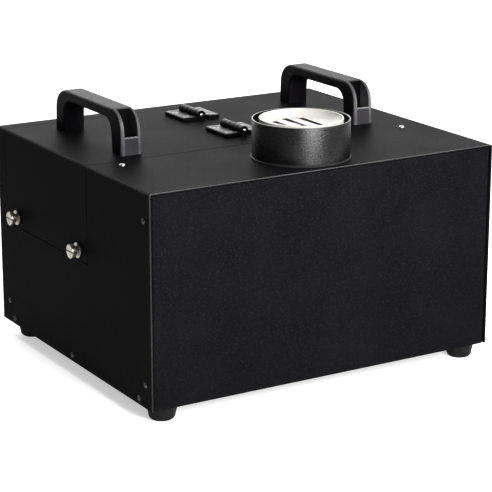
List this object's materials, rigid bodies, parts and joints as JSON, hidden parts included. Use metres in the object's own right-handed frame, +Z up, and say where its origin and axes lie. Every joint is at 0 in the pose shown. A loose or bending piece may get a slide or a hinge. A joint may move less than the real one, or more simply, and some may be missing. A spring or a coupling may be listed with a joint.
{
  "type": "stage flame machine",
  "caption": "Black sheet-steel stage flame machine: flame nozzle and two bridge handles on top, hinged hatch with thumb screws over a gas can bay, sockets and switches at the rear.",
  "frame": {"origin": "on the floor, under the middle of the overall box, thumb screws and arming key included", "axes": "+X to the right along the front, +Y from the front towards the rear panel, +Z up"},
  "size_m": [0.4764, 0.4224, 0.3204],
  "materials": {
    "powder_coat": "fine-textured black powder coat, satin",
    "moulded_black": "moulded black plastic, fine spark texture",
    "foot_rubber": "matt black rubber",
    "black_steel": "blackened steel, satin",
    "bright_steel": "nickel-plated steel, turned",
    "white_enamel": "matt white heat-proof enamel",
    "zinc_plate": "zinc-plated steel sheet",
    "aluminium": "milled aluminium",
    "brass": "turned brass",
    "copper": "drawn copper pipe",
    "ceramic": "glazed ceramic",
    "circuit_green": "solder-masked circuit board",
    "red_plastic": "gloss red plastic",
    "smoked_window": "smoked clear window",
    "can_paint": "plain silver-painted tinplate"
  },
  "bodies": {
    "root": {"cover_shell": "powder_coat", "front_panel": "powder_coat", "rear_panel": "powder_coat", "base_tray": "powder_coat", "fire_wall": "zinc_plate", "bay_wall": "zinc_plate", "catch_strip": "zinc_plate", "rubber_foot_front_left": "foot_rubber", "rubber_foot_front_right": "foot_rubber", "rubber_foot_rear_left": "foot_rubber", "rubber_foot_rear_right": "foot_rubber", "top_screw_left": "bright_steel", "top_screw_right": "bright_steel", "right_handle": "moulded_black", "front_hinge_fixed_leaf": "moulded_black", "rear_hinge_fixed_leaf": "moulded_black", "front_hinge_pin": "bright_steel", "rear_hinge_pin": "bright_steel", "flame_tube": "powder_coat", "burner_cup": "white_enamel", "burner_housing": "zinc_plate", "jet_nozzle": "brass", "electrode_insulator": "ceramic", "ignition_electrode": "bright_steel", "left_gas_can": "can_paint", "right_gas_can": "can_paint", "can_manifold": "aluminium", "can_cradle": "moulded_black", "left_pusher_spring": "bright_steel", "right_pusher_spring": "bright_steel", "solenoid_valve": "brass", "solenoid_coil": "moulded_black", "valve_spring": "bright_steel", "gas_pipe": "copper", "ignition_transformer": "moulded_black", "power_supply": "aluminium", "control_board": "circuit_green", "display_window": "smoked_window", "data_in_socket": "black_steel", "data_out_socket": "black_steel", "mains_in_socket": "moulded_black", "mains_out_socket": "moulded_black", "rocker_frame": "moulded_black", "key_lock": "bright_steel"},
    "hatch": {"hatch_panel": "powder_coat", "left_handle": "moulded_black", "front_hinge_moving_leaf": "moulded_black", "rear_hinge_moving_leaf": "moulded_black"},
    "front_thumb_ring": {"front_retaining_ring": "black_steel"},
    "front_thumb": {"front_thumb_screw": "bright_steel"},
    "rear_thumb_ring": {"rear_retaining_ring": "black_steel"},
    "rear_thumb": {"rear_thumb_screw": "bright_steel"},
    "pusher": {"can_pusher": "zinc_plate"},
    "plunger": {"valve_plunger": "bright_steel"},
    "rocker": {"power_rocker": "red_plastic"},
    "key": {"arming_key": "bright_steel"},
    "button_1": {"menu_button_1": "moulded_black"},
    "button_2": {"menu_button_2": "moulded_black"},
    "button_3": {"menu_button_3": "moulded_black"},
    "button_4": {"menu_button_4": "moulded_black"}
  },
  "joints": [
    {"name": "hatch_hinge", "type": "hinge", "parent": "root", "child": "hatch", "pos_m": [0.0087, 0.0546, 0.2742], "axis": [0, 1, 0], "range_deg": [0, 105]},
    {"name": "front_thumb_slide", "type": "slide", "parent": "hatch", "child": "front_thumb_ring", "axis": [-1, 0, 0], "range_m": [0, 0.0046]},
    {"name": "front_thumb_turn", "type": "hinge", "parent": "front_thumb_ring", "child": "front_thumb", "pos_m": [-0.2298, -0.0337, 0.162], "axis": [-1, 0, 0], "range_deg": [0, 1440]},
    {"name": "rear_thumb_slide", "type": "slide", "parent": "hatch", "child": "rear_thumb_ring", "axis": [-1, 0, 0], "range_m": [0, 0.0046]},
    {"name": "rear_thumb_turn", "type": "hinge", "parent": "rear_thumb_ring", "child": "rear_thumb", "pos_m": [-0.2298, 0.1358, 0.162], "axis": [-1, 0, 0], "range_deg": [0, 1440]},
    {"name": "pusher_slide", "type": "slide", "parent": "root", "child": "pusher", "axis": [0, 1, 0], "range_m": [0, 0.008], "stiffness_N_per_m": 900, "springref_m": -0.01, "deforming": ["left_pusher_spring", "right_pusher_spring"]},
    {"name": "plunger_slide", "type": "slide", "parent": "root", "child": "plunger", "axis": [0, 0, 1], "range_m": [0, 0.003], "stiffness_N_per_m": 400, "springref_m": -0.004, "deforming": ["valve_spring"]},
    {"name": "rocker_tip", "type": "hinge", "parent": "root", "child": "rocker", "pos_m": [0.20445, 0.1888, 0.068], "axis": [1, 0, 0], "range_deg": [0, 16]},
    {"name": "key_turn", "type": "hinge", "parent": "root", "child": "key", "pos_m": [0.19395, 0.1912, 0.144], "axis": [0, -1, 0], "range_deg": [0, 90]},
    {"name": "button_1_press", "type": "slide", "parent": "root", "child": "button_1", "axis": [0, -1, 0], "range_m": [0, 0.0012], "stiffness_N_per_m": 600, "springref_m": -0.0006},
    {"name": "button_2_press", "type": "slide", "parent": "root", "child": "button_2", "axis": [0, -1, 0], "range_m": [0, 0.0012], "stiffness_N_per_m": 600, "springref_m": -0.0006},
    {"name": "button_3_press", "type": "slide", "parent": "root", "child": "button_3", "axis": [0, -1, 0], "range_m": [0, 0.0012], "stiffness_N_per_m": 600, "springref_m": -0.0006},
    {"name": "button_4_press", "type": "slide", "parent": "root", "child": "button_4", "axis": [0, -1, 0], "range_m": [0, 0.0012], "stiffness_N_per_m": 600, "springref_m": -0.0006}
  ],
  "couplings": [
    {"joint": "front_thumb_slide", "follows": "front_thumb_turn", "m_per_rad": 0.00015915},
    {"joint": "rear_thumb_slide", "follows": "rear_thumb_turn", "m_per_rad": 0.00015915}
  ]
}
